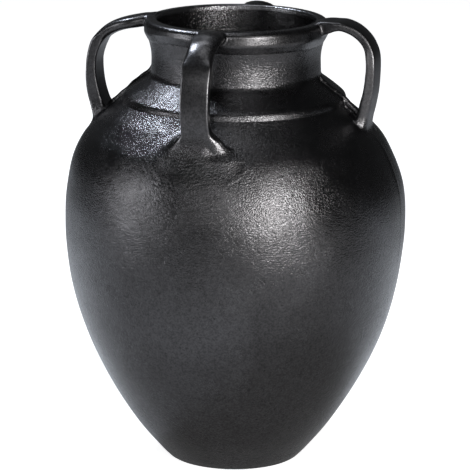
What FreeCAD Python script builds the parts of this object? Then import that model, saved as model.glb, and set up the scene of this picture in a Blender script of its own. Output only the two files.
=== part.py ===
import FreeCAD, Part
import math
import os

# Cast aluminium floor vase with four strap handles.
# Millimetres, +Z up, origin on the floor under the middle of the foot.
# The side handles stand on the X axis, the front one towards -Y.

# Overall sizes
lip_height = 482.0
mouth_radius = 84.7
belly_radius = 184.2
foot_radius = 73.0
wall = 5.0

# Neck casting: a skirt laps over the shells and shows as the step on the shoulder
neck_length = 35.0
neck_wall = 5.5
waist_share = 0.55
waist_bow = 90.0
flare_bow = 10.0
lap_width = 27.5
spigot_wall = 7.3
skirt_thickness = 5.0
skirt_round = 3.8

# Rim collar: the flat lip and the rolled band under it
band_depth = 22.0
band_foot_proud = 3.0
lip_width = 12.1
lip_outer_round = 3.0
lip_inner_round = 1.4
band_swell = 0.8
band_roll_bow = 14.0
band_bulge_share = 0.34

# Body castings: two shells that meet in the plane of the side handles
foot_lift = 0.5
foot_bevel = 1.2
belly_turn = math.radians(12.4)
shoulder_turn = math.radians(49.5)
belly_bow_share = 2.834
shoulder_bow_share = 1.903

# Strap handles, bent by hand: each reaches a share of the way from the skirt's edge to the belly,
# rises or falls and bends over by shares of its way out from the lip, and splays by a share of the
# widest splay
strap_width = 30.0
strap_thickness = 10.0
strap_round = 2.0
root_thickness = 14.0
sole_thickness = 15.0
kink_rise = 36.0
kink_bow = 30.0
leg_lean = math.radians(11.0)
splay_rise = 26.0
splay_width = 76.0
splay_drop = 24.0
splay_bow = 9.0
splay_tip_bow = 4.0
handle_places = {
    "handle_right": {
        "turn": 0.0, "reach_share": 0.546, "rise_share": 0.19, "bend_share": 0.74,
        "splay_share": 0.6, "on_joint": True,
    },
    "handle_back": {
        "turn": 90.0, "reach_share": 0.626, "rise_share": 0.06, "bend_share": 0.74,
        "splay_share": 1.0, "on_joint": False,
    },
    "handle_left": {
        "turn": 180.0, "reach_share": 0.691, "rise_share": -0.2, "bend_share": 0.75,
        "splay_share": 0.6, "on_joint": True,
    },
    "handle_front": {
        "turn": 270.0, "reach_share": 0.626, "rise_share": 0.06, "bend_share": 0.74,
        "splay_share": 1.0, "on_joint": False,
    },
}

# Weld bead left standing on the shell joint inside the side handles
bead_width = 7.0
bead_height = 4.5

# Closing plate and its felt pads
plate_thickness = 5.0
plate_recess = 1.5
pad_count = 4
pad_radius = 9.0
pad_inset = 6.5
pad_first_turn = 45.0

# Overrun of cuts
overrun = 20.0

full_turn = 360.0
half_turn = 180.0
quarter_turn = 90.0
floor_point = FreeCAD.Vector(0, 0, 0)
upright = FreeCAD.Vector(0, 0, 1)

# Radii that follow the mouth
waist_radius = mouth_radius + neck_wall
opening_radius = mouth_radius + spigot_wall
lip_radius = mouth_radius + lip_width
band_roll_radius = lip_radius + band_swell
band_foot_radius = waist_radius + band_foot_proud
skirt_radius = opening_radius + lap_width

# Bows and heights that follow from the overall sizes
foot_height = foot_lift
shoulder_overhang = belly_radius - skirt_radius
belly_bow = shoulder_overhang * belly_bow_share
shoulder_bow = shoulder_overhang * shoulder_bow_share
collar_height = lip_height - band_depth
flare_height = collar_height - neck_length
bow_run = belly_bow * (1 - math.cos(belly_turn))
bow_run += shoulder_bow * (math.cos(belly_turn) - math.cos(shoulder_turn))
bow_rise = belly_bow * math.sin(belly_turn)
bow_rise += shoulder_bow * (math.sin(shoulder_turn) - math.sin(belly_turn))
straight_rise = (belly_radius - bow_run - waist_radius) / math.tan(shoulder_turn)
skirt_rise = skirt_thickness / math.sin(shoulder_turn)
belly_height = flare_height - skirt_rise - straight_rise - bow_rise
belly_rise = belly_height - foot_height
belly_overhang = belly_radius - foot_radius
lower_bow = (belly_overhang ** 2 + belly_rise ** 2) / (2 * belly_overhang)


# Outlines are drawn in the XZ plane as (radius, height) and turned about Z
def at(radius, height):
    return FreeCAD.Vector(radius, 0, height)


def swing(centre, bow, angle):
    """Point of an arc about centre, its angle taken from level."""
    return (centre[0] + bow * math.cos(angle), centre[1] + bow * math.sin(angle))


def line(start, end):
    return Part.LineSegment(at(*start), at(*end)).toShape()


def arc(centre, bow, first, last):
    middle = swing(centre, bow, (first + last) / 2)
    return Part.Arc(at(*swing(centre, bow, first)), at(*middle), at(*swing(centre, bow, last))).toShape()


def corner(before, point, after, bow):
    """Ends and middle of the arc that rounds one corner of an outline."""
    here = at(*point)
    back = (at(*before) - here).normalize()
    ahead = (at(*after) - here).normalize()
    half = back.getAngle(ahead) / 2
    reach = bow / math.tan(half)
    inward = (back + ahead).normalize()
    middle = here + inward * (bow / math.sin(half) - bow)
    return here + back * reach, middle, here + ahead * reach


def closed_outline(points):
    """Face of a closed outline of (radius, height, corner bow) points."""
    edges = []
    joints = []
    for index, point in enumerate(points):
        before = points[index - 1][:2]
        after = points[(index + 1) % len(points)][:2]
        if point[2] > 0:
            start, middle, end = corner(before, point[:2], after, point[2])
            edges.append(Part.Arc(start, middle, end).toShape())
            joints.append((start, end))
        else:
            joints.append((at(*point[:2]), at(*point[:2])))
    for index, joint in enumerate(joints):
        edges.append(Part.LineSegment(joints[index - 1][1], joint[0]).toShape())
    return Part.Face(Part.Wire(Part.__sortEdges__(edges)))


def turned(face, degrees=full_turn):
    return face.revolve(floor_point, upright, degrees)


# Body outline: a long bow from the foot to the belly, then two arcs and a straight shoulder
lower_centre = (belly_radius - lower_bow, belly_height)
belly_centre = (belly_radius - belly_bow, belly_height)
shoulder_centre = swing(belly_centre, belly_bow - shoulder_bow, belly_turn)


def lower_angle(height, offset):
    return math.asin((height - belly_height) / (lower_bow + offset))


def lower_point(height, offset):
    return swing(lower_centre, lower_bow + offset, lower_angle(height, offset))


def shoulder_point(radius, offset):
    """Point of the straight shoulder at a radius, offset outwards from the shells."""
    top = swing(shoulder_centre, shoulder_bow + offset, shoulder_turn)
    climb = (top[0] - radius) / math.tan(shoulder_turn)
    return (radius, top[1] + climb)


def landing_height(radius):
    """Height of the shells' outside where a handle lands on the shoulder."""
    return shoulder_centre[1] + math.sqrt(shoulder_bow ** 2 - (radius - shoulder_centre[0]) ** 2)


def body_edges(offset, start_height, end_radius):
    """Edges of the body outline, offset outwards, from a height up to the opening."""
    start = lower_angle(start_height, offset)
    top = swing(shoulder_centre, shoulder_bow + offset, shoulder_turn)
    return [
        arc(lower_centre, lower_bow + offset, start, 0),
        arc(belly_centre, belly_bow + offset, 0, belly_turn),
        arc(shoulder_centre, shoulder_bow + offset, belly_turn, shoulder_turn),
        line(top, shoulder_point(end_radius, offset)),
    ]


def shell_face():
    bevel_end = lower_point(foot_height + foot_bevel, 0)
    bevel_start = (foot_radius - foot_bevel, foot_height)
    foot_inner = lower_point(foot_height, -wall)
    edges = body_edges(0, foot_height + foot_bevel, opening_radius)
    edges += body_edges(-wall, foot_height, opening_radius)
    edges.append(line(bevel_start, bevel_end))
    edges.append(line(bevel_start, foot_inner))
    edges.append(line(shoulder_point(opening_radius, 0), shoulder_point(opening_radius, -wall)))
    return Part.Face(Part.Wire(Part.__sortEdges__(edges)))


def body_face(offset):
    """Section of the full body inside its outline, offset outwards."""
    low = foot_height + foot_bevel
    top = shoulder_point(opening_radius, offset)
    edges = body_edges(offset, low, opening_radius)
    edges.append(line(top, (0, top[1])))
    edges.append(line((0, top[1]), (0, low)))
    edges.append(line((0, low), lower_point(low, offset)))
    return Part.Face(Part.Wire(Part.__sortEdges__(edges)))


def neck_face():
    skirt_foot = shoulder_point(skirt_radius, 0)
    skirt_top = shoulder_point(skirt_radius, skirt_thickness)
    seat = shoulder_point(opening_radius, 0)
    spigot_end = shoulder_point(opening_radius, -wall)
    return closed_outline([
        (mouth_radius, collar_height, 0),
        (band_foot_radius, collar_height, 0),
        (waist_radius, flare_height + neck_length * waist_share, waist_bow),
        (waist_radius, flare_height, flare_bow),
        (skirt_top[0], skirt_top[1], skirt_round),
        (skirt_foot[0], skirt_foot[1], 0),
        (seat[0], seat[1], 0),
        (spigot_end[0], spigot_end[1], 0),
        (mouth_radius, spigot_end[1], 0),
    ])


def collar_face(inner_radius, inner_round):
    """Section of the rim collar, or of the full disc inside its outline."""
    bulge_height = collar_height + band_depth * band_bulge_share
    return closed_outline([
        (inner_radius, lip_height, inner_round),
        (lip_radius, lip_height, lip_outer_round),
        (band_roll_radius, bulge_height, band_roll_bow),
        (band_foot_radius, collar_height, 0),
        (inner_radius, collar_height, 0),
    ])


def strap_side(reach, bend, rise, landing):
    """Side view of a handle, from inside the collar to inside the body."""
    root = mouth_radius
    sole = belly_height
    kink_height = landing + kink_rise
    lean = (kink_height - sole) * math.tan(leg_lean)
    inner = reach - strap_thickness
    arch_height = lip_height + rise
    return closed_outline([
        (root, lip_height, 0),
        (reach, arch_height, bend),
        (reach, kink_height, kink_bow),
        (reach - lean, sole, 0),
        (reach - lean - sole_thickness, sole, 0),
        (inner, kink_height, kink_bow),
        (inner, arch_height - strap_thickness, bend - strap_thickness),
        (root, lip_height - root_thickness, 0),
    ])


def strap_front(landing, splay_share):
    """Front view of a handle: a strap that splays out on the shoulder."""
    half = strap_width / 2
    splay_half = splay_width * splay_share / 2
    splay_height = landing + splay_rise
    splay_foot = splay_height - splay_drop
    top = lip_height + overrun
    sole = belly_height - overrun
    face = closed_outline([
        (half, top, 0),
        (half, splay_height, splay_bow),
        (splay_half, splay_foot, splay_tip_bow),
        (splay_half, sole, 0),
        (-splay_half, sole, 0),
        (-splay_half, splay_foot, splay_tip_bow),
        (-half, splay_height, splay_bow),
        (-half, top, 0),
    ])
    face.rotate(floor_point, upright, quarter_turn)
    return face


def long_edges(solid):
    """The strap's four running edges: neither across it nor on its two hidden ends."""
    chosen = []
    for edge in solid.Edges:
        box = edge.BoundBox
        hidden_root = box.XMax < mouth_radius + strap_round
        hidden_sole = box.ZMax < belly_height + strap_round
        across = box.XLength < strap_round and box.ZLength < strap_round
        if not (hidden_root or hidden_sole or across):
            chosen.append(edge)
    return chosen


def strap_reach(place):
    return skirt_radius + shoulder_overhang * place["reach_share"]


def strap_block(place):
    """A handle over +X before it is cut off at the body and the collar."""
    reach = strap_reach(place)
    way_out = reach - lip_radius
    bend = way_out * place["bend_share"]
    rise = way_out * place["rise_share"]
    landing = landing_height(reach - strap_thickness / 2)
    span = FreeCAD.Vector(0, splay_width + overrun, 0)
    side = strap_side(reach, bend, rise, landing)
    side.translate(span * -0.5)
    strap = side.extrude(span)
    depth = FreeCAD.Vector(reach + overrun, 0, 0)
    front = strap_front(landing, place["splay_share"])
    strap = strap.common(front.extrude(depth)).Solids[0]
    return strap.makeFillet(strap_round, long_edges(strap))


def handle(place, strap, body, collar):
    piece = strap.cut(body).cut(collar).Solids[0]
    piece.rotate(floor_point, upright, place["turn"])
    return piece


def bead(place, strap, body, neck):
    """Raised weld on the shoulder, from the neck down to the inside of a side handle."""
    start = waist_radius + flare_bow / 2
    over_neck = closed_outline([
        (*shoulder_point(start, skirt_thickness + bead_height), 0),
        (*shoulder_point(skirt_radius, skirt_thickness + bead_height), 0),
        (*shoulder_point(skirt_radius + bead_height, bead_height), 0),
        (skirt_radius + bead_height, belly_height, 0),
        (start, belly_height, 0),
    ])
    over_shell = body_face(bead_height)
    width = FreeCAD.Vector(0, bead_width, 0)
    weld = over_neck.extrude(width).fuse(over_shell.extrude(width)).removeSplitter()
    weld.translate(width * -0.5)
    corner_point = FreeCAD.Vector(start, -bead_width, belly_height)
    run = strap_reach(place) - strap_thickness - start
    weld = weld.common(Part.makeBox(run, 2 * bead_width, lip_height - belly_height, corner_point))
    weld = weld.cut(strap).cut(body).cut(neck).Solids[0]
    weld.rotate(floor_point, upright, place["turn"])
    return weld


def base_plate():
    low = foot_height + plate_recess
    high = low + plate_thickness
    angles = (lower_angle(low, -wall), lower_angle(high, -wall))
    edges = [
        arc(lower_centre, lower_bow - wall, *angles),
        line(lower_point(high, -wall), (0, high)),
        line((0, high), (0, low)),
        line((0, low), lower_point(low, -wall)),
    ]
    return turned(Part.Face(Part.Wire(Part.__sortEdges__(edges))))


def felt_pads():
    plate_edge = lower_point(foot_height + plate_recess, -wall)
    pad_circle_radius = plate_edge[0] - pad_inset - pad_radius
    pads = []
    for index in range(pad_count):
        angle = math.radians(pad_first_turn + index * full_turn / pad_count)
        centre = FreeCAD.Vector(pad_circle_radius * math.cos(angle), pad_circle_radius * math.sin(angle), 0)
        pads.append(Part.makeCylinder(pad_radius, foot_height + plate_recess, centre))
    return Part.makeCompound(pads)


def build():
    body = turned(body_face(0))
    neck = turned(neck_face())
    collar_block = turned(collar_face(0, 0))
    pieces = {
        "front_shell": turned(shell_face(), -half_turn),
        "back_shell": turned(shell_face(), half_turn),
        "neck": neck,
        "rim_collar": turned(collar_face(mouth_radius, lip_inner_round)),
        "base_plate": base_plate(),
        "felt_pads": felt_pads(),
    }
    beads = []
    for name, place in handle_places.items():
        strap = strap_block(place)
        pieces[name] = handle(place, strap, body, collar_block)
        if place["on_joint"]:
            beads.append(bead(place, strap, body, neck))
    pieces["seam_beads"] = Part.makeCompound(beads)
    return pieces


if __name__ == "__main__":
    os.makedirs("parts", exist_ok=True)
    for name, shape in build().items():
        print(name, len(shape.Solids), shape.isValid(), round(shape.Volume / 1000, 1), shape.BoundBox)
        shape.exportStep("parts/" + name + ".step")
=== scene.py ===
import math

import bpy
import numpy as np
from mathutils import Matrix, Vector


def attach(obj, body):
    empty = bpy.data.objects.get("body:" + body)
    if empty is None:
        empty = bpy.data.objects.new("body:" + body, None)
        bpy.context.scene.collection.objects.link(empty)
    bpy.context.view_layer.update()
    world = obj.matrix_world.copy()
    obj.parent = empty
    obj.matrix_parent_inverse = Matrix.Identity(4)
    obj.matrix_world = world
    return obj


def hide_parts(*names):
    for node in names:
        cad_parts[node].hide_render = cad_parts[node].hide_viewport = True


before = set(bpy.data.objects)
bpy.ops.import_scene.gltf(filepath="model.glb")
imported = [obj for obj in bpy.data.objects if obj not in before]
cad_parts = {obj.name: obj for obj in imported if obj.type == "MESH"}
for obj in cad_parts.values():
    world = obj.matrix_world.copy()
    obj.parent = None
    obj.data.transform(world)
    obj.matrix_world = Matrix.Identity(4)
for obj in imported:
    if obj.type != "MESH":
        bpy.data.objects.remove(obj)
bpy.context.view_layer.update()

# The vase is worked out in millimetres, with radii from its middle and heights from the floor.
# Angles are taken from +X, anticlockwise from above; the front handle stands at -90 degrees.
METRES = 0.001
# The camera stands this many degrees to the right of the front handle
VIEW_TURN = 15.7
# The directions to the camera's left and away from it
VIEW_LEFT = math.radians(180 + VIEW_TURN)
AWAY = (-math.sin(math.radians(VIEW_TURN)), math.cos(math.radians(VIEW_TURN)), 0.0)
LIP_TOP = 481.0
MOUTH_RADIUS = 84.7
MOUTH_EDGE = 1.6
WALL = 5.0
# The neck's bore stands back this far behind the collar's, where the two lap
BORE_STEP = 0.04

# Underside of the foot, and where the inner wall starts over the closing plate
FOOT_RING = [(66.9, 0.6), (71.4, 0.6)]
INNER_START = 6.5
# Outside of the two body castings, foot to opening: (radius, height)
BODY_OUTLINE = [
    (72.9, 1.6), (82.7, 12), (105.4, 40), (131.4, 80), (152.1, 120), (167.0, 160), (177.0, 200),
    (182.2, 238), (183.3, 264), (182.3, 290), (178.4, 313), (171.8, 334), (162.0, 353.5),
    (150.4, 367), (139.8, 376.8), (129.2, 386.2), (121.5, 392.9), (107.0, 405.4), (92.5, 417.9),
]
# Outside of the neck casting, from the shoulder over the soft step to the collar:
# (radius, height, corner bow)
NECK_OUTLINE = [
    (130.0, 384.7, 0), (120.2, 393.6, 8.5), (118.4, 401.2, 8), (90.8, 420.8, 9), (90.0, 445, 60),
    (93.5, 458.6, 0),
]
# Where the neck's skirt comes down on the shoulder
SKIRT_FOOT = (126.0, 388.9)
# Outside of the rim collar, from the neck to the mouth: (radius, height, corner bow)
COLLAR_OUTLINE = [
    (93.0, 457.2, 0), (94.8, 460.0, 5), (98.3, 466.6, 9), (97.8, LIP_TOP, 6.2),
    (MOUTH_RADIUS, LIP_TOP, 0),
]

# Hand-made unevenness of the castings: how far it stands out, its height or heights, and its place on
# the round. It comes in over the foot, between UNEVEN_STARTS. The shoulder is fuller on the left, the
# skirt sits a little off centre, and the casting is fuller just below the step, left of the front
# handle, where the groove under the rim was set up too. Both bands at the step are one height.
UNEVEN_STARTS = (2, 30)
SHOULDER_OUT, SHOULDER_STARTS, SHOULDER_ENDS = 2.0, (300, 342), (384, 412)
SKIRT_OUT, SKIRT_HEIGHT, SKIRT_PLACE = 3.9, 397, math.radians(-85)
LEDGE_OUT, LEDGE_HEIGHT, LEDGE_PLACE, LEDGE_RUN = 2.4, 380.5, math.radians(240), 0.6
BAND_HEIGHT = 9
GROOVE_UP, GROOVE_STARTS, GROOVE_ENDS = 5.2, (444, 458), (463, 478)
GROOVE_PLACE, GROOVE_RUN = math.radians(243), 0.42
WAVE_OUT, WAVES_END = 0.16, (404, 420)
# Ridge of the joint of the two body castings, on both sides: half width, where it starts, grows and
# ends, and the radius at which the angle beside it is turned into millimetres
JOINT_PLACES, JOINT_HALF_WIDTH = (0.0, math.pi), 2.6
JOINT_STARTS, JOINT_GROWS, JOINT_ENDS = (190, 240), (285, 320), (352, 372)
JOINT_RADIUS = 150

# The four strap handles, each with
# - turn: its place round the vase, and line: its middle line from the rim down to the foot
#   (radius, height, half thickness)
# - root_width, lip_width, splay_width: half widths of the root, of its end at the lip and of the foot
# - root_round, root_crown: the bent root is rounded like a casting, and bend says between which
#   heights it turns into the leg, which is flat with crisper edges
# - foot_round: rounding of the foot's edges, which it reaches at the first height of foot_bend
# - shifts: how far it was set off its middle line, at heights along it, and lip_shift at the lip
# - slants: how far its sides lean out towards the body (near side, far side, far side of the foot)
# - fillets: how softly the near and far side of the foot run into the shoulder
# - hug: twice the radius of the round that the far side of the foot follows, as NEAR_HUG is for the
#   near side
# The far side is the one that is ahead when the vase is gone round anticlockwise.
STRAP_HALF_WIDTH = 15.2
LEG_ROUND, LEG_CROWN = 1.7, 0.3
BENT_LINE = [
    (89, 473.8, 7), (97, 475.0, 7.2), (104, 475.8, 6.9), (111, 475.7, 6.3), (119, 473.9, 5.7),
    (127, 470.6, 6.2), (134.3, 466.0, 6.1), (138.4, 462.6, 5.9), (142.0, 459.0, 5.5),
    (147.4, 452.0, 5.0), (151.4, 442.5, 4.9), (153.6, 431, 4.9), (154.7, 420, 4.9), (154.9, 409, 4.9),
    (154.1, 398.5, 5.0), (152.0, 388, 5.2), (150.4, 377, 5.4), (149.4, 366, 5.7), (148.4, 355, 6.0),
    (147.0, 343, 6.0),
]
HANDLES = {
    "right": dict(
        turn=0.0, root_width=18.2, lip_width=15.5, splay_width=21.0,
        root_round=2.6, root_crown=0.7, bend=(447, 461), foot_round=5.2, foot_bend=(384, 420),
        shifts=((400, 0), (468, 0)), lip_shift=0.0, slants=(0.28, 0, 0), fillets=(5, 12), hug=300,
        line=[
            (89, 473.6, 7), (96, 476.4, 7.9), (103, 478.0, 7.2), (110, 479.2, 5.7), (117, 479.6, 5.1),
            (124, 477.9, 5.1), (131, 474.8, 5.2), (138, 469.8, 5.2), (144, 463.2, 5.2),
            (148, 455.2, 5.2), (150, 446, 5.1), (150.4, 437, 5.1), (150.0, 428, 5.3),
            (149.2, 418, 5.6), (148.0, 409, 6.0), (146.2, 401, 6.5), (144.4, 393, 6.8),
            (142.2, 384, 7.0), (140.6, 375, 7.2), (139.1, 366, 7.2), (138, 356, 7.0),
        ]),
    "back": dict(
        turn=90.0, root_width=17.8, lip_width=13.6, splay_width=33.0,
        root_round=5.0, root_crown=4.0, bend=(450, 464), foot_round=4.4, foot_bend=(372, 388),
        shifts=((400, 0), (434, 3), (468, 6)), lip_shift=0.0, slants=(0, 0, 0.4), fillets=(15, 15),
        hug=300, line=BENT_LINE),
    "left": dict(
        turn=180.0, root_width=17.8, lip_width=13.6, splay_width=21.0,
        root_round=4.2, root_crown=1.8, bend=(447, 461), foot_round=1.7, foot_bend=(384, 420),
        shifts=((400, 0), (468, 0)), lip_shift=0.0, slants=(0, 0, 0), fillets=(9, 5), hug=300,
        line=[
            (89, 473.8, 7), (99, 474.3, 7.1), (110, 472.4, 6.9), (120, 470.3, 6.7), (129.5, 467.4, 6.6),
            (138.5, 463.2, 6.5), (146.3, 457.2, 6.3), (152.2, 449.5, 6.1), (156.0, 440, 5.8),
            (158.2, 430, 5.6), (158.8, 420, 5.8), (158.6, 410, 6.3), (157.5, 400, 6.8),
            (155.6, 391, 7.2), (152.9, 382, 7.4), (150.5, 373, 7.2), (148.7, 364, 7.0),
            (147.2, 355, 6.8), (146, 345, 6.4),
        ]),
    "front": dict(
        turn=270.0, root_width=17.4, lip_width=15.8, splay_width=33.0,
        root_round=4.4, root_crown=3.4, bend=(450, 464), foot_round=4.4, foot_bend=(372, 388),
        shifts=((400, 0.4), (446, 0.9), (453, 0.6), (460, -0.2), (466, -0.2), (472, 0.0)),
        lip_shift=-0.1, slants=(0, 0, 0.9), fillets=(16, 4), hug=800, line=BENT_LINE),
}
NEAR_HUG = 300
# Heights, and radii at the lip, between which the straps change
ROOT_HEIGHTS, ROOT_RADII, LIP_RADII = (440, 470), (116, 140), (93, 112)
SPLAY_TOP, SPLAY_DROP = 387, 24
HUG_HEIGHTS, FOOT_SLANT_HEIGHTS, SLANT_HEIGHTS = (366, 394), (376, 392), (440, 462)
FILLET_HEIGHTS, FAR_FILLET_ACROSS, FAR_FILLET_HEIGHTS = (384, 410), (8, 22), (358, 369)
# The ground and the rubbed edges of a strap: how much, and the heights between which they change
EDGE_WEAR, WEAR_ENDS, WEAR_STARTS, GROUND_HEIGHTS = 0.20, (444, 456), (372, 384), (366, 392)
RIM_GROUND, RIM_GROUND_RUN, RIM_GROUND_HEIGHTS = 0.75, 4, (456, 463)
# Above its foot a strap meets the casting with the plain fillet. Beside the fillet the skin goes on for
# the hem: it lies under the casting's outside by the sink and comes up by the rise towards its end.
# The depth is how far the strap reaches into the wall. The beads are made in the same way.
PLAIN_FILLET = 3.6
STRAP_SINK, STRAP_RISE, STRAP_HEM, STRAP_DEPTH = 0.03, 0.07, 4.0, 2.8
STRAP_BOX, STRAP_GRID = ((86.5, -58, 336), (168, 58, 490)), 1.2

# Weld beads that bridge the step under the side handles: the radius where each ends, and its middle
# line (radius, height)
BEADS = {
    "right": (140, [
        (90, 424.5), (94, 418.5), (99, 414.2), (106, 409.4), (112, 405.2), (117, 401.6), (121, 398.0),
        (126, 393.4), (132, 388.0), (142, 378.5),
    ]),
    "left": (150, [
        (90, 427.5), (94.4, 420.0), (100.3, 414.4), (107.6, 408.6), (114.6, 402.8), (121.1, 396.8),
        (127.7, 390.8), (134.2, 384.8), (142, 377.8), (152, 368.5),
    ]),
}
BEAD_START, BEAD_THICK, BEAD_FILLET = 92.5, 3.5, 2.6
BEAD_SINK, BEAD_RISE, BEAD_HEM, BEAD_DEPTH = 0.04, 0.09, 4.2, 2.0
BEAD_REACH, BEAD_FOOT, BEAD_TOP, BEAD_GRID = 11, 360, 432, 0.9


def eased(value, low, high):
    """Smooth rise from zero at low to one at high."""
    share = np.clip((value - low) / (high - low), 0, 1)
    return share * share * (3 - 2 * share)


def hump(value, middle, reach):
    """One in the middle, fading away on both sides of it."""
    return np.exp(-((value - middle) / reach) ** 2)


def away_from(angle, place):
    """Angle from a place on the round, less than half a turn to either side."""
    return np.angle(np.exp(1j * (angle - place)))


def flowing(points, step):
    """Smooth line through points of any dimension, about one point per step."""
    points = np.array(points, float)
    ends = np.vstack([2 * points[0] - points[1], points, 2 * points[-1] - points[-2]])
    line = []
    for a, b, c, d in zip(ends, ends[1:], ends[2:], ends[3:]):
        count = max(2, int(round(np.linalg.norm((c - b)[:2]) / step)))
        t = np.linspace(0, 1, count, endpoint=False)[:, None]
        bend, twist = 2 * a - 5 * b + 4 * c - d, 3 * b - a - 3 * c + d
        line.append(0.5 * (2 * b + (c - a) * t + bend * t ** 2 + twist * t ** 3))
    return np.vstack(line + [points[-1:]])


def cornered(points, step):
    """Line through (radius, height, corner bow) points with its corners rounded."""
    line = [np.array(points[0][:2], float)]
    for before, (radius, height, bow), after in zip(points, points[1:], points[2:]):
        here = np.array((radius, height), float)
        back = np.array(before[:2]) - here
        back /= np.linalg.norm(back)
        ahead = np.array(after[:2]) - here
        ahead /= np.linalg.norm(ahead)
        half = math.acos(np.clip(back @ ahead, -1, 1)) / 2
        reach = bow / math.tan(half)
        middle = here + (back + ahead) / np.linalg.norm(back + ahead) * bow / math.sin(half)
        start = here + back * reach - middle
        turn = math.pi - 2 * half
        side = np.sign(start[0] * (here - middle)[1] - start[1] * (here - middle)[0])
        for angle in np.linspace(0, turn * side, max(3, int(turn * bow / 0.5) + 1)):
            c, s = math.cos(angle), math.sin(angle)
            line.append(middle + np.array((c * start[0] - s * start[1], s * start[0] + c * start[1])))
    line.append(np.array(points[-1][:2], float))
    full = [line[0]]
    for here, there in zip(line, line[1:]):
        count = max(1, int(math.ceil(np.linalg.norm(there - here) / step)))
        full += [here + (there - here) * k / count for k in range(1, count + 1)]
    return np.array(full)


# Shallow waves, the same for every piece that shares the outside: four shares for each wave
WAVES = np.random.default_rng(11).uniform(0, 1, (14, 4))


def swell(angle, height):
    """How far the outside stands out past its round outline at an angle and a height."""
    shoulder = eased(height, *SHOULDER_STARTS) * (1 - eased(height, *SHOULDER_ENDS))
    out = SHOULDER_OUT * shoulder * np.cos(angle - VIEW_LEFT)
    out = out + SKIRT_OUT * hump(height, SKIRT_HEIGHT, BAND_HEIGHT) * np.cos(angle - SKIRT_PLACE)
    ledge = LEDGE_OUT * hump(height, LEDGE_HEIGHT, BAND_HEIGHT)
    out = out + ledge * hump(away_from(angle, LEDGE_PLACE), 0, LEDGE_RUN)
    body = 1 - eased(height, *WAVES_END)
    for count, start, length, size in WAVES:
        round_it = np.sin((1 + int(count * 7)) * angle + 6.3 * start)
        up_it = np.sin(height / (14 + 34 * length) + 6.3 * size)
        out = out + WAVE_OUT * (0.4 + size) * body * round_it * up_it
    for place in JOINT_PLACES:
        ridge = eased(height, *JOINT_STARTS) * (0.4 + 0.7 * eased(height, *JOINT_GROWS))
        ridge = ridge * (1 - eased(height, *JOINT_ENDS)) * (0.85 + 0.25 * np.sin(height / 7.3 + place))
        out = out + ridge * hump(away_from(angle, place) * JOINT_RADIUS, 0, JOINT_HALF_WIDTH)
    return out


def lift(angle, height):
    """How far the groove under the rim was set up."""
    aside = hump(away_from(angle, GROOVE_PLACE), 0, GROOVE_RUN)
    return GROOVE_UP * aside * eased(height, *GROOVE_STARTS) * (1 - eased(height, *GROOVE_ENDS))


def rim_ground(radius, height):
    """How smooth the rim was ground; the mouth and the neck are left as cast."""
    outwards = eased(radius, MOUTH_RADIUS, MOUTH_RADIUS + RIM_GROUND_RUN)
    return RIM_GROUND * outwards * eased(height, *RIM_GROUND_HEIGHTS)


def outline_points():
    """The whole outside in one closed run, with the hollow filled in."""
    neck = cornered(NECK_OUTLINE, 1.0)
    body = flowing(BODY_OUTLINE, 1.5)
    shoulder = np.argmin(np.hypot(*(body - SKIRT_FOOT).T))
    skirt = neck[neck[:, 0] < SKIRT_FOOT[0] - 1]
    collar = cornered(COLLAR_OUTLINE, 1.0)
    return np.vstack([[(0, BODY_OUTLINE[0][1])], body[:shoulder], skirt, collar[2:], [(0, LIP_TOP)]])


class Chart:
    """Values worked out once on a flat grid of (radius, height) and read between its points."""

    step = 0.5

    def __init__(self, low, high):
        self.low = low
        self.radii = np.arange(low[0], high[0], self.step)
        self.heights = np.arange(low[1], high[1], self.step)
        self.places = np.stack(np.meshgrid(self.radii, self.heights, indexing="ij"), -1)

    def read(self, values, radius, height):
        u = np.clip((radius - self.low[0]) / self.step, 0, len(self.radii) - 1.001)
        v = np.clip((height - self.low[1]) / self.step, 0, len(self.heights) - 1.001)
        i, j = u.astype(int), v.astype(int)
        u, v = u - i, v - j
        return ((values[i, j] * (1 - u) + values[i + 1, j] * u) * (1 - v)
                + (values[i, j + 1] * (1 - u) + values[i + 1, j + 1] * u) * v)


def nearest(places, line):
    """Distance to a line, the place along it and the side, for each of many places."""
    flat = places.reshape(-1, 2)
    best = np.full(len(flat), np.inf)
    along = np.zeros(len(flat))
    side = np.ones(len(flat))
    for index in range(len(line) - 1):
        start, run = line[index], line[index + 1] - line[index]
        if run @ run < 1e-12:
            continue
        gap = flat - start
        share = np.clip(gap @ run / (run @ run), 0, 1)
        miss = gap - share[:, None] * run
        far = np.hypot(miss[:, 0], miss[:, 1])
        nearer = far < best
        best[nearer] = far[nearer]
        along[nearer] = (index + share)[nearer]
        side[nearer] = np.sign(run[0] * gap[:, 1] - run[1] * gap[:, 0])[nearer]
    shape = places.shape[:-1]
    return best.reshape(shape), along.reshape(shape), side.reshape(shape)


def inside(places, ring):
    """Which places lie inside a closed ring."""
    flat = places.reshape(-1, 2)
    count = np.zeros(len(flat), int)
    for a, b in zip(ring, np.roll(ring, -1, 0)):
        crosses = (a[1] > flat[:, 1]) != (b[1] > flat[:, 1])
        with np.errstate(divide="ignore", invalid="ignore"):
            at = a[0] + (flat[:, 1] - a[1]) * (b[0] - a[0]) / (b[1] - a[1])
        count += crosses & (flat[:, 0] < at)
    return (count % 2 == 1).reshape(places.shape[:-1])


outline = outline_points()
outside_chart = Chart((70, 320), (200, 504))
outside_distance = nearest(outside_chart.places, outline)[0]
outside_distance = np.where(inside(outside_chart.places, outline), -outside_distance, outside_distance)


def over_outside(x, y, z, turn):
    """Height of a point over the vase's outside, below zero within it."""
    angle = np.arctan2(y, x) + turn
    return outside_chart.read(outside_distance, np.hypot(x, y) - swell(angle, z), z - lift(angle, z))


def melted(a, b, reach):
    """Two surfaces joined with a fillet."""
    near = np.maximum(reach - np.abs(a - b), 0) / reach
    return np.minimum(a, b) - near * near * reach / 4


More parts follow.
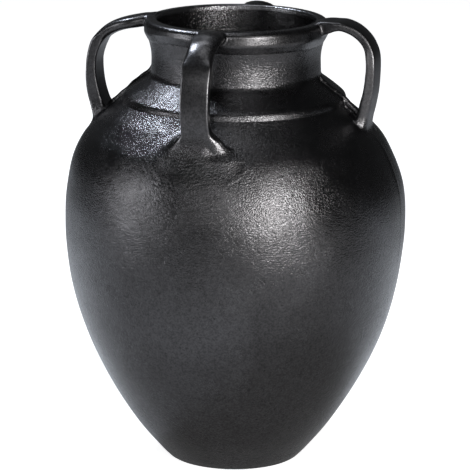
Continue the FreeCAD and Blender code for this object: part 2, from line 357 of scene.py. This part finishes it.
def cells_beside(spots, others, du, dv):
    """The grid cells on one side of each grid edge."""
    cell = spots.copy()
    cell[:, others[0]] -= du
    cell[:, others[1]] -= dv
    return cell


def skin(field, low, high, step):
    """Closed mesh of the surface where a field is zero, its points moved onto the surface."""
    axes = [np.arange(a, b + step, step) for a, b in zip(low, high)]
    values = field(*np.meshgrid(*axes, indexing="ij"))
    solid = values < 0
    shape = np.array(values.shape)
    total = np.zeros((*(shape - 1), 3))
    hits = np.zeros(shape - 1)
    edges = []
    # Each cell's point is the mean of the places where the surface crosses the cell's edges
    for axis in range(3):
        first, second = [slice(None)] * 3, [slice(None)] * 3
        first[axis], second[axis] = slice(None, -1), slice(1, None)
        first, second = tuple(first), tuple(second)
        cross = solid[first] != solid[second]
        share = np.where(cross, values[first] / np.where(cross, values[first] - values[second], 1), 0)
        spots = np.argwhere(cross)
        point = spots.astype(float)
        point[:, axis] += share[cross]
        others = [k for k in range(3) if k != axis]
        for du, dv in ((0, 0), (0, 1), (1, 0), (1, 1)):
            cell = cells_beside(spots, others, du, dv)
            within = np.all((cell >= 0) & (cell < shape - 1), 1)
            np.add.at(total, tuple(cell[within].T), point[within])
            np.add.at(hits, tuple(cell[within].T), 1)
        edges.append((spots, others, solid[first][cross]))
    used = hits > 0
    numbers = np.full(shape - 1, -1)
    numbers[used] = np.arange(used.sum())
    points = total[used] / hits[used][:, None] * step + np.array([a[0] for a in axes])
    # Each crossed edge has one face, between the points of the four cells round it
    quads = []
    for axis, (spots, others, outward) in enumerate(edges):
        ring = []
        for du, dv in ((0, 0), (1, 0), (1, 1), (0, 1)):
            cell = cells_beside(spots, others, du, dv)
            ring.append(numbers[tuple(np.clip(cell, 0, shape - 2).T)])
        ring = np.array(ring).T
        flip = outward if axis != 1 else ~outward
        ring[flip] = ring[flip][:, ::-1]
        quads.append(ring)
    nudge = 0.05
    for _ in range(4):
        value = field(*points.T)
        nudged = [field(*(points + row * nudge).T) for row in np.eye(3)]
        slope = np.stack([(there - value) / nudge for there in nudged], -1)
        move = value[:, None] * slope / np.maximum((slope ** 2).sum(1), 0.2)[:, None]
        far = np.linalg.norm(move, axis=1, keepdims=True)
        points = points - move * np.minimum(1, step / np.maximum(far, 1e-9)) * 0.9
    return points, np.vstack(quads)


def make_piece(name, points, faces, finish, slot, stands_for, wear=0.0, ground=0.0):
    """A visible piece on the vase's body, with layers that say where it is worn and where ground."""
    mesh = bpy.data.meshes.new(name)
    points = np.asarray(points, float) * METRES
    faces = np.asarray(faces, int)
    mesh.vertices.add(len(points))
    mesh.vertices.foreach_set("co", points.ravel())
    mesh.loops.add(faces.size)
    mesh.loops.foreach_set("vertex_index", faces.ravel())
    mesh.polygons.add(len(faces))
    mesh.polygons.foreach_set("loop_start", np.arange(0, faces.size, faces.shape[1]))
    mesh.polygons.foreach_set("loop_total", np.full(len(faces), faces.shape[1]))
    mesh.update(calc_edges=True)
    mesh.validate()
    mesh.polygons.foreach_set("use_smooth", np.ones(len(mesh.polygons), bool))
    for title, amount in (("wear", wear), ("ground", ground)):
        layer = mesh.attributes.new(title, "FLOAT", "POINT")
        layer.data.foreach_set("value", np.full(len(mesh.vertices), amount, float))
    mesh.materials.append(finish)
    piece = bpy.data.objects.new(name, mesh)
    bpy.context.scene.collection.objects.link(piece)
    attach(piece, "root")
    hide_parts(*stands_for)


def turned(points, turn):
    """Points turned about the vase's middle."""
    x, y, z = points.T
    c, s = math.cos(turn), math.sin(turn)
    return np.stack([c * x - s * y, s * x + c * y, z], -1)


def ring_angles(count):
    """Angles round the vase, closer together at the body's joints on the X axis."""
    even = np.linspace(0, 2 * math.pi, count, endpoint=False)
    return even - 0.55 * np.sin(2 * even) / 2


def turned_piece(name, ring, follow, count, finish, slot, stands_for, wear=0.0, ground=0.0):
    """Closed ring of (radius, height) turned about the middle; follow says how far each point joins in
    the unevenness of the castings."""
    angles = ring_angles(count)
    radius = ring[None, :, 0] + follow[None, :] * swell(angles[:, None], ring[None, :, 1])
    height = ring[None, :, 1] + follow[None, :] * lift(angles[:, None], ring[None, :, 1])
    points = np.stack([radius * np.cos(angles)[:, None], radius * np.sin(angles)[:, None], height], -1)
    rows, columns = np.meshgrid(np.arange(count), np.arange(len(ring)), indexing="ij")
    ahead, up = (rows + 1) % count, (columns + 1) % len(ring)
    rows, ahead = rows * len(ring), ahead * len(ring)
    faces = np.stack([rows + columns, ahead + columns, ahead + up, rows + up], -1).reshape(-1, 4)
    layers = [np.tile(layer, count) if np.ndim(layer) else layer for layer in (wear, ground)]
    make_piece(name, points.reshape(-1, 3), faces, finish, slot, stands_for, *layers)


class Value:
    """A shader socket that can be used in sums; each sum adds its Math node."""

    def __init__(self, finish, socket):
        self.finish = finish
        self.socket = socket

    def sum(self, operation, *terms):
        return self.finish.node("ShaderNodeMath", {"operation": operation}, dict(enumerate(terms)))

    def __add__(self, other):
        return self.sum("ADD", self, other)

    def __sub__(self, other):
        return self.sum("SUBTRACT", self, other)

    def __mul__(self, other):
        return self.sum("MULTIPLY", self, other)

    def __rsub__(self, other):
        return self.sum("SUBTRACT", other, self)

    __radd__ = __add__
    __rmul__ = __mul__

    def between(self, low, high, start=0.0, end=1.0):
        """Smooth change from start at low to end at high."""
        limits = {"From Min": low, "From Max": high, "To Min": start, "To Max": end}
        settings = {"interpolation_type": "SMOOTHSTEP"}
        return self.finish.node("ShaderNodeMapRange", settings, {"Value": self, **limits})


class Finish:
    """A procedural material."""

    def __init__(self, name):
        self.material = bpy.data.materials.new(name)
        self.material.use_nodes = True
        self.tree = self.material.node_tree
        self.tree.nodes.clear()

    def node(self, kind, settings=None, inputs=None, output=0):
        """Any shader node: its settings are set first, then the values or links of its sockets."""
        made = self.tree.nodes.new(kind)
        for key, value in (settings or {}).items():
            setattr(made, key, value)
        for key, value in (inputs or {}).items():
            if isinstance(value, Value):
                self.tree.links.new(value.socket, made.inputs[key])
            else:
                made.inputs[key].default_value = value
        return Value(self, made.outputs[output]) if len(made.outputs) else None

    def noise(self, place, scale, detail, roughness, distortion=0.0):
        return self.node("ShaderNodeTexNoise", None, {
            "Vector": place, "Scale": scale, "Detail": detail, "Roughness": roughness,
            "Distortion": distortion})

    def mixed(self, share, first, second):
        colours = {"Factor": share, 6: first, 7: second}
        return self.node("ShaderNodeMix", {"data_type": "RGBA"}, colours, 2)

    def bump(self, height, strength):
        """Relief given in millimetres."""
        return self.node("ShaderNodeBump", None, {
            "Strength": strength, "Distance": METRES, "Height": height})

    def closed(self, surface):
        """The material, with its surface joined up."""
        self.node("ShaderNodeOutputMaterial", None, {"Surface": surface})
        return self.material


BLACK = (0, 0, 0, 1)
WHITE = (1, 1, 1, 1)
BARE_METAL = (0.24, 0.24, 0.25, 1)


def patina_finish(name, dark, light, pebble, rough):
    """Black patina over metal: pebbled from the mould, smooth where the ground layer says it was
    ground, and rubbed through where the wear layer says so."""
    finish = Finish(name)
    place = finish.node("ShaderNodeTexCoord", None, None, 3)
    ground = finish.node("ShaderNodeAttribute", {"attribute_name": "ground"}, None, 2)
    wear = finish.node("ShaderNodeAttribute", {"attribute_name": "wear"}, None, 2)
    cloud = finish.noise(place, 9, 4, 0.6, 0.4)
    blotch = finish.noise(place, 34, 3, 0.55)
    swells = finish.noise(place, 95, 2, 0.5, 0.3)
    lumps = finish.noise(place, 320, 2, 0.55, 0.4)
    cells = finish.node("ShaderNodeTexVoronoi", {"feature": "SMOOTH_F1"},
                        {"Vector": place, "Scale": 600, "Smoothness": 0.3, "Randomness": 1.0})
    fine = finish.noise(place, 680, 1, 0.6, 0.3)
    sand = finish.noise(place, 950, 1, 0.6)
    grime = finish.noise(place, 480, 2, 0.6).between(0.35, 0.65)
    stain = finish.noise(place, 150, 3, 0.6).between(0.35, 0.65)
    pits = finish.noise(place, 300, 1, 0.5).between(0.66, 0.80)
    patches = finish.noise(place, 22, 2, 0.5).between(0.30, 0.70, 0.75, 1.15)
    cast = 1 - 0.82 * ground
    grain = lumps * 0.16 + fine - cells * 0.80 + sand * 0.60 - pits * 0.4
    height = grain * (cast * pebble) + swells * (0.6 * pebble)
    normal = finish.bump(height * patches, 1.0)
    worn = wear * (0.55 + 0.9 * blotch)
    tone = finish.mixed(cloud.between(0.30, 0.72), (*dark, 1), (*light, 1))
    tone = finish.mixed(grime * 0.30 + stain * 0.12, tone, BLACK)
    tone = finish.mixed(pits * cast * 0.6, tone, (*(part * 0.35 for part in dark), 1))
    tone = finish.mixed(worn, tone, BARE_METAL)
    gloss = rough + ground * 0.05 + (blotch - 0.5) * 0.14 + (sand - 0.5) * 0.10 - worn * 0.08
    return finish.closed(finish.node("ShaderNodeBsdfPrincipled", None, {
        "Base Color": tone, "Metallic": 1.0, "Roughness": gloss, "Normal": normal}))


def felt_finish():
    """Grey felt under the foot."""
    finish = Finish("pressed_felt")
    place = finish.node("ShaderNodeTexCoord", None, None, 3)
    fibre = finish.noise(place, 900, 4, 0.7, 1.2)
    tone = finish.mixed(fibre, (0.07, 0.07, 0.07, 1), (0.16, 0.16, 0.155, 1))
    normal = finish.bump(fibre * 0.3, 0.8)
    return finish.closed(finish.node("ShaderNodeBsdfPrincipled", None, {
        "Base Color": tone, "Roughness": 0.95, "Normal": normal, "Sheen Weight": 0.2}))


PATINA_TONES = (0.080, 0.078, 0.080), (0.108, 0.106, 0.110)
PLATE_TONES = (0.045, 0.045, 0.046), (0.060, 0.060, 0.061)
body_finish = patina_finish("cast_black_patina", *PATINA_TONES, 0.30, 0.25)
ground_finish = patina_finish("ground_black_patina", *PATINA_TONES, 0.30, 0.25)
plate_finish = patina_finish("plate_black_patina", *PLATE_TONES, 0.10, 0.45)

# Body: outer and inner wall in one closed ring
outer = flowing(BODY_OUTLINE, 2.2)
inner = outer[outer[:, 1] > INNER_START]
tangent = np.gradient(inner, axis=0)
tangent /= np.linalg.norm(tangent, axis=1)[:, None]
inner = (inner + np.stack([-tangent[:, 1], tangent[:, 0]], -1) * WALL)[::-2]
body_ring = np.vstack([FOOT_RING, outer, inner])
body_follow = np.zeros(len(body_ring))
body_follow[len(FOOT_RING):-len(inner)] = eased(outer[:, 1], *UNEVEN_STARTS)
turned_piece("vase_body", body_ring, body_follow, 480, body_finish, "cast_black",
             ("front_shell", "back_shell"))

# Neck with its skirt, and the bore behind it
neck_line = cornered(NECK_OUTLINE, 1.6)
neck_top = [(88, 461), (MOUTH_RADIUS + 0.6, 461.4)]
neck_bore = [(MOUTH_RADIUS + BORE_STEP, z) for z in (461.2, 460.6, *np.arange(460, 412, -4.0))]
neck_under = [(85.5, 410.8), (92.0, 411.5), (100, 405.0), (112.0, 394.5)]
neck_ring = np.vstack([neck_line, neck_top, neck_bore, neck_under])
neck_follow = np.repeat([1, 0, 0.5], [len(neck_line), len(neck_top + neck_bore), len(neck_under)])
turned_piece("vase_neck", neck_ring, neck_follow, 360, body_finish, "cast_black", ("neck",))

# Rim collar: ground smooth outside and worn bright at the mouth
collar_line = cornered(COLLAR_OUTLINE, 1.2)[:-1]
collar_bore = [(MOUTH_RADIUS, z) for z in (LIP_TOP - MOUTH_EDGE, 475, 470, 465, 461, 460.2, 460.0)]
collar_ring = np.vstack([collar_line, collar_bore, [(MOUTH_RADIUS + 0.1, 459.9)]])
collar_follow = (collar_ring[:, 0] > MOUTH_RADIUS + 1).astype(float)
from_edge = np.hypot(collar_ring[:, 0] - MOUTH_RADIUS - 0.6, collar_ring[:, 1] - LIP_TOP + 0.6)
mouth_wear = hump(from_edge, 0, MOUTH_EDGE) * 0.8
turned_piece("rolled_rim", collar_ring, collar_follow, 360, ground_finish, "ground_black",
             ("rim_collar",), mouth_wear, rim_ground(*collar_ring.T))


class Strap:
    """One handle: a bent strap, thick at the rim and splayed out on the shoulder."""

    def __init__(self, made):
        self.turn = math.radians(made["turn"])
        self.splay_width, self.fillets, self.hug = made["splay_width"], made["fillets"], made["hug"]
        self.near_slant, self.far_slant, self.foot_slant = made["slants"]
        line = flowing(made["line"], 1.5)
        self.chart = Chart((78, 330), (184, 504))
        self.distance, along, outward = nearest(self.chart.places, line[:, :2])
        self.outward = self.distance * outward
        radius, height, self.thick = (np.interp(along, np.arange(len(line)), part) for part in line.T)
        root = eased(height, *ROOT_HEIGHTS) * (1 - eased(radius, *ROOT_RADII))
        lip = 1 - eased(radius, *LIP_RADII)
        wave = 0.5 * np.sin(along / 9 + 2 * self.turn) + 0.4 * np.sin(along / 4.3 + self.turn)
        wider = (made["root_width"] - STRAP_HALF_WIDTH) * root
        self.width = STRAP_HALF_WIDTH + wider + self.splay(height) + wave * 0.3
        self.width = self.width - (made["root_width"] - made["lip_width"]) * root * lip
        slope = self.splay(height + 0.5) - self.splay(height - 0.5)
        self.square = 1 / np.sqrt(1 + slope ** 2)
        self.sway = 0.6 * np.sin(along / 13 + 1.3 * self.turn)
        self.sway = self.sway + np.interp(height, *zip(*made["shifts"])) + made["lip_shift"] * lip
        bend = eased(height, *made["bend"])
        foot_bend = 1 - eased(height, *made["foot_bend"])
        self.round = LEG_ROUND + (made["root_round"] - LEG_ROUND) * bend
        self.round = self.round + (made["foot_round"] - LEG_ROUND) * foot_bend
        self.crown = LEG_CROWN + made["root_crown"] * bend

    def splay(self, height):
        """How much wider the foot is than the leg."""
        drop = np.clip((SPLAY_TOP - height) / SPLAY_DROP, 0, 1.15)
        return (self.splay_width - STRAP_HALF_WIDTH) * (np.sqrt(drop ** 2 + 0.02) - math.sqrt(0.02))

    def bent_back(self, x, y, z):
        """The foot follows the round of the shoulder."""
        return x + (1 - eased(z, *HUG_HEIGHTS)) * y * y / np.where(y > 0, self.hug, NEAR_HUG)

    def from_faces(self, x, y, z):
        """Distance out from where the rounding starts, through the strap and across it."""
        x = self.bent_back(x, y, z)
        width = self.chart.read(self.width, x, z)
        thick = self.chart.read(self.thick, x, z)
        bow = self.chart.read(self.round, x, z)
        off = y - self.chart.read(self.sway, x, z)
        across = np.abs(off)
        crown = self.chart.read(self.crown, x, z) * (across / width) ** 2
        through = self.chart.read(self.distance, x, z) - thick + crown + bow
        far_slant = self.far_slant + self.foot_slant * (1 - eased(z, *FOOT_SLANT_HEIGHTS))
        slant = np.where(off < 0, self.near_slant, far_slant) * (1 - eased(z, *SLANT_HEIGHTS))
        deep = np.clip(thick - self.chart.read(self.outward, x, z), 0, 2 * thick)
        beside = (across - width - slant * deep) / np.sqrt(1 + slant ** 2)
        return through, beside * self.chart.read(self.square, x, z) + bow, bow

    def strap(self, x, y, z):
        """Distance from the strap, below zero within it."""
        a, b, bow = self.from_faces(x, y, z)
        return np.hypot(np.maximum(a, 0), np.maximum(b, 0)) + np.minimum(np.maximum(a, b), 0) - bow

    def edge(self, x, y, z):
        """Nearness to the strap's four long edges."""
        a, b, bow = self.from_faces(x, y, z)
        corner = eased(np.minimum(a, b) / bow, -0.2, 0.6)
        return corner * (1 - eased(np.maximum(a, b), bow + 0.1, bow + 0.9))

    def field(self, x, y, z):
        """Zero on the strap's skin and its fillets, below zero within it."""
        strap = self.strap(x, y, z)
        outside = over_outside(x, y, z, self.turn)
        low = 1 - eased(z, *FILLET_HEIGHTS)
        near, far = self.fillets
        softer = (far - near) * eased(y, *FAR_FILLET_ACROSS) * (0.2 + 0.8 * eased(z, *FAR_FILLET_HEIGHTS))
        reach = PLAIN_FILLET + low * (near - PLAIN_FILLET + softer)
        hem = eased(strap, reach - 0.5, reach + STRAP_HEM + 0.5)
        joined = melted(strap, outside + STRAP_SINK - STRAP_RISE * hem, reach)
        return np.maximum(np.maximum(joined, strap - reach - STRAP_HEM), -outside - STRAP_DEPTH)


for side, made in HANDLES.items():
    handle = Strap(made)
    points, faces = skin(handle.field, *STRAP_BOX, STRAP_GRID)
    radius, height = np.hypot(points[:, 0], points[:, 1]), points[:, 2]
    wear = handle.edge(*points.T) * EDGE_WEAR
    wear = wear * (1 - eased(height, *WEAR_ENDS)) * eased(height, *WEAR_STARTS)
    ground = 1 - eased(handle.strap(*points.T), 0.2, 1.6)
    ground = ground * (0.1 + 0.9 * eased(height, *GROUND_HEIGHTS))
    ground = np.maximum(ground, rim_ground(radius, height))
    make_piece("handle_strap_" + side, turned(points, handle.turn), faces, ground_finish, "ground_black",
               ("handle_" + side,), wear, ground)


class Bead:
    """Weld left standing on the joint of the body castings, under a side handle."""

    def __init__(self, turn, end, line):
        self.turn = math.radians(turn)
        self.end = end
        self.chart = Chart((86, 350), (158, 440))
        self.distance = nearest(self.chart.places, flowing(line, 1.5))[0]

    def field(self, x, y, z):
        """Zero on the bead's skin and its fillets, below zero within it."""
        outside = over_outside(x, y, z, self.turn)
        wander = 0.8 * np.sin(x / 6.1 + self.turn) + 0.3 * np.sin(x / 2.6)
        thick = BEAD_THICK + 0.22 * np.sin(x / 1.9 + self.turn) + 0.2 * np.sin(x / 4.3 + 1)
        ridge = np.hypot(y - wander, self.chart.read(self.distance, x, z)) - thick
        hem = eased(ridge, 2.0, 4.0)
        joined = melted(ridge, outside + BEAD_SINK - BEAD_RISE * hem, BEAD_FILLET)
        joined = np.maximum(np.maximum(joined, ridge - BEAD_HEM), -outside - BEAD_DEPTH)
        return np.maximum(np.maximum(joined, BEAD_START - x), x - self.end)


welds = []
for side, (end, line) in BEADS.items():
    bead = Bead(HANDLES[side]["turn"], end, line)
    low, high = (BEAD_START + 0.5, -BEAD_REACH, BEAD_FOOT), (end + 2, BEAD_REACH, BEAD_TOP)
    points, faces = skin(bead.field, low, high, BEAD_GRID)
    welds.append((turned(points, bead.turn), faces))
(right, right_faces), (left, left_faces) = welds
make_piece("weld_beads", np.vstack([right, left]), np.vstack([right_faces, left_faces + len(right)]),
           body_finish, "cast_black", ("seam_beads",))

# The closing plate and the felt pads are the solids' own meshes
for name, finish in (("base_plate", plate_finish), ("felt_pads", felt_finish())):
    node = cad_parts[name]
    node.data.materials.clear()
    node.data.materials.append(finish)


FLOOR_SIZE = 9.0
FLOOR_GREY = (0.60, 0.60, 0.60, 1)
# Pale blue of the painted reflection: the floor glows in this colour only in what the vase mirrors
FLOOR_REFLECTION_GLOW = (0.84, 0.91, 1.0, 1)


def floor_finish():
    """White as the camera sees it, with the vase's shadow kept. What the vase mirrors of the floor is
    painted reflection:
    the floor glows there, though it is no lamp, behind the vase, fading out towards a metre away, and
    fainter in a ring in front of it."""
    finish = Finish("pale_floor")
    seen = finish.node("ShaderNodeLightPath", None, None, "Is Camera Ray")
    mirrored = finish.node("ShaderNodeLightPath", None, None, "Is Glossy Ray")
    place = finish.node("ShaderNodeNewGeometry")
    behind = finish.node("ShaderNodeVectorMath", {"operation": "DOT_PRODUCT"}, {0: place, 1: AWAY}, 1)
    distance = finish.node("ShaderNodeVectorMath", {"operation": "LENGTH"}, {0: place}, 1)
    back = behind.between(-0.10, 0.25)
    ring = distance.between(0.17, 0.42) * distance.between(0.7, 1.3, 0.22, 0.0)
    # Painted reflection: where the floor glows in the vase's mirror image, behind it and in a ring in front
    painted_glow = back * behind.between(0.35, 1.0, 1.0, 0.03) + (1 - back) * ring
    tone = finish.mixed(seen, finish.mixed(painted_glow, BLACK, FLOOR_REFLECTION_GLOW), WHITE)
    strength = seen * 0.88 + mirrored * 0.58
    diffuse = finish.node("ShaderNodeBsdfDiffuse", None, {"Color": FLOOR_GREY})
    glow = finish.node("ShaderNodeEmission", None, {"Color": tone, "Strength": strength})
    return finish.closed(finish.node("ShaderNodeAddShader", None, {0: diffuse, 1: glow}))


bpy.ops.mesh.primitive_plane_add(size=FLOOR_SIZE, location=(0, 0, 0))
floor = bpy.context.object
floor.name = "studio_floor"
floor.data.materials.append(floor_finish())

# Studio lamps, all at one distance from the vase's middle: turn right of the camera and rise over the
# level in degrees, width, height, power, colour
LAMP_DISTANCE = 2.4
LAMP_MIDDLE = Vector((0, 0, 0.26))
LAMPS = {
    "key_softbox": (28, 11.5, 0.95, 0.85, 51, (1.0, 0.99, 0.975)),
    "upper_softbox": (32, 36, 0.8, 0.8, 6, (1.0, 0.99, 0.98)),
    "left_softbox": (-70, 9, 0.9, 1.1, 17, (0.95, 0.97, 1.0)),
    "front_softbox": (-12, 20, 1.2, 0.9, 8, (0.98, 0.99, 1.0)),
    "back_left_softbox": (-126, 56, 0.36, 0.36, 33, (0.82, 0.89, 1.0)),
    "back_softbox": (-155, 64, 1.0, 1.0, 8, (0.92, 0.95, 1.0)),
    "top_softbox": (-30, 80, 0.8, 0.8, 4, (0.96, 0.98, 1.0)),
}
for name, (turn, rise, wide, tall, power, colour) in LAMPS.items():
    turn, rise = math.radians(VIEW_TURN - 90 + turn), math.radians(rise)
    way = Vector((math.cos(turn) * math.cos(rise), math.sin(turn) * math.cos(rise), math.sin(rise)))
    lamp = bpy.data.lights.new(name, "AREA")
    lamp.shape = "RECTANGLE"
    lamp.size, lamp.size_y = wide, tall
    lamp.energy = power
    lamp.color = colour
    box = bpy.data.objects.new(name, lamp)
    box.location = LAMP_MIDDLE + way * LAMP_DISTANCE
    box.rotation_euler = way.to_track_quat("Z", "Y").to_euler()
    bpy.context.scene.collection.objects.link(box)

ROOM_COLOUR, ROOM_STRENGTH = (0.93, 0.96, 1.0, 1), 0.05
world = bpy.data.worlds.new("studio_room")
bpy.context.scene.world = world
world.use_nodes = True
room = world.node_tree.nodes["Background"].inputs
room["Color"].default_value = ROOM_COLOUR
room["Strength"].default_value = ROOM_STRENGTH

# Camera, matched to the photograph: metres from the vase's middle line and over the floor, lens in
# millimetres, and degrees that it looks down and is rolled
CAMERA_DISTANCE, CAMERA_HEIGHT, CAMERA_LENS = 3.0, 0.9885, 218.8
CAMERA_DOWN, CAMERA_ROLL = 13.95, 0.37
camera_data = bpy.data.cameras.new("photo_camera")
camera_data.lens = CAMERA_LENS
camera_data.sensor_width = 36
camera_data.clip_end = 30
camera = bpy.data.objects.new("photo_camera", camera_data)
turn = math.radians(VIEW_TURN)
camera.matrix_world = (
    Matrix.Translation((CAMERA_DISTANCE * math.sin(turn), -CAMERA_DISTANCE * math.cos(turn), CAMERA_HEIGHT))
    @ Matrix.Rotation(turn, 4, "Z") @ Matrix.Rotation(math.radians(90 - CAMERA_DOWN), 4, "X")
    @ Matrix.Rotation(math.radians(CAMERA_ROLL), 4, "Z"))
bpy.context.scene.collection.objects.link(camera)
bpy.context.scene.camera = camera
bpy.context.scene.view_settings.view_transform = "Standard"
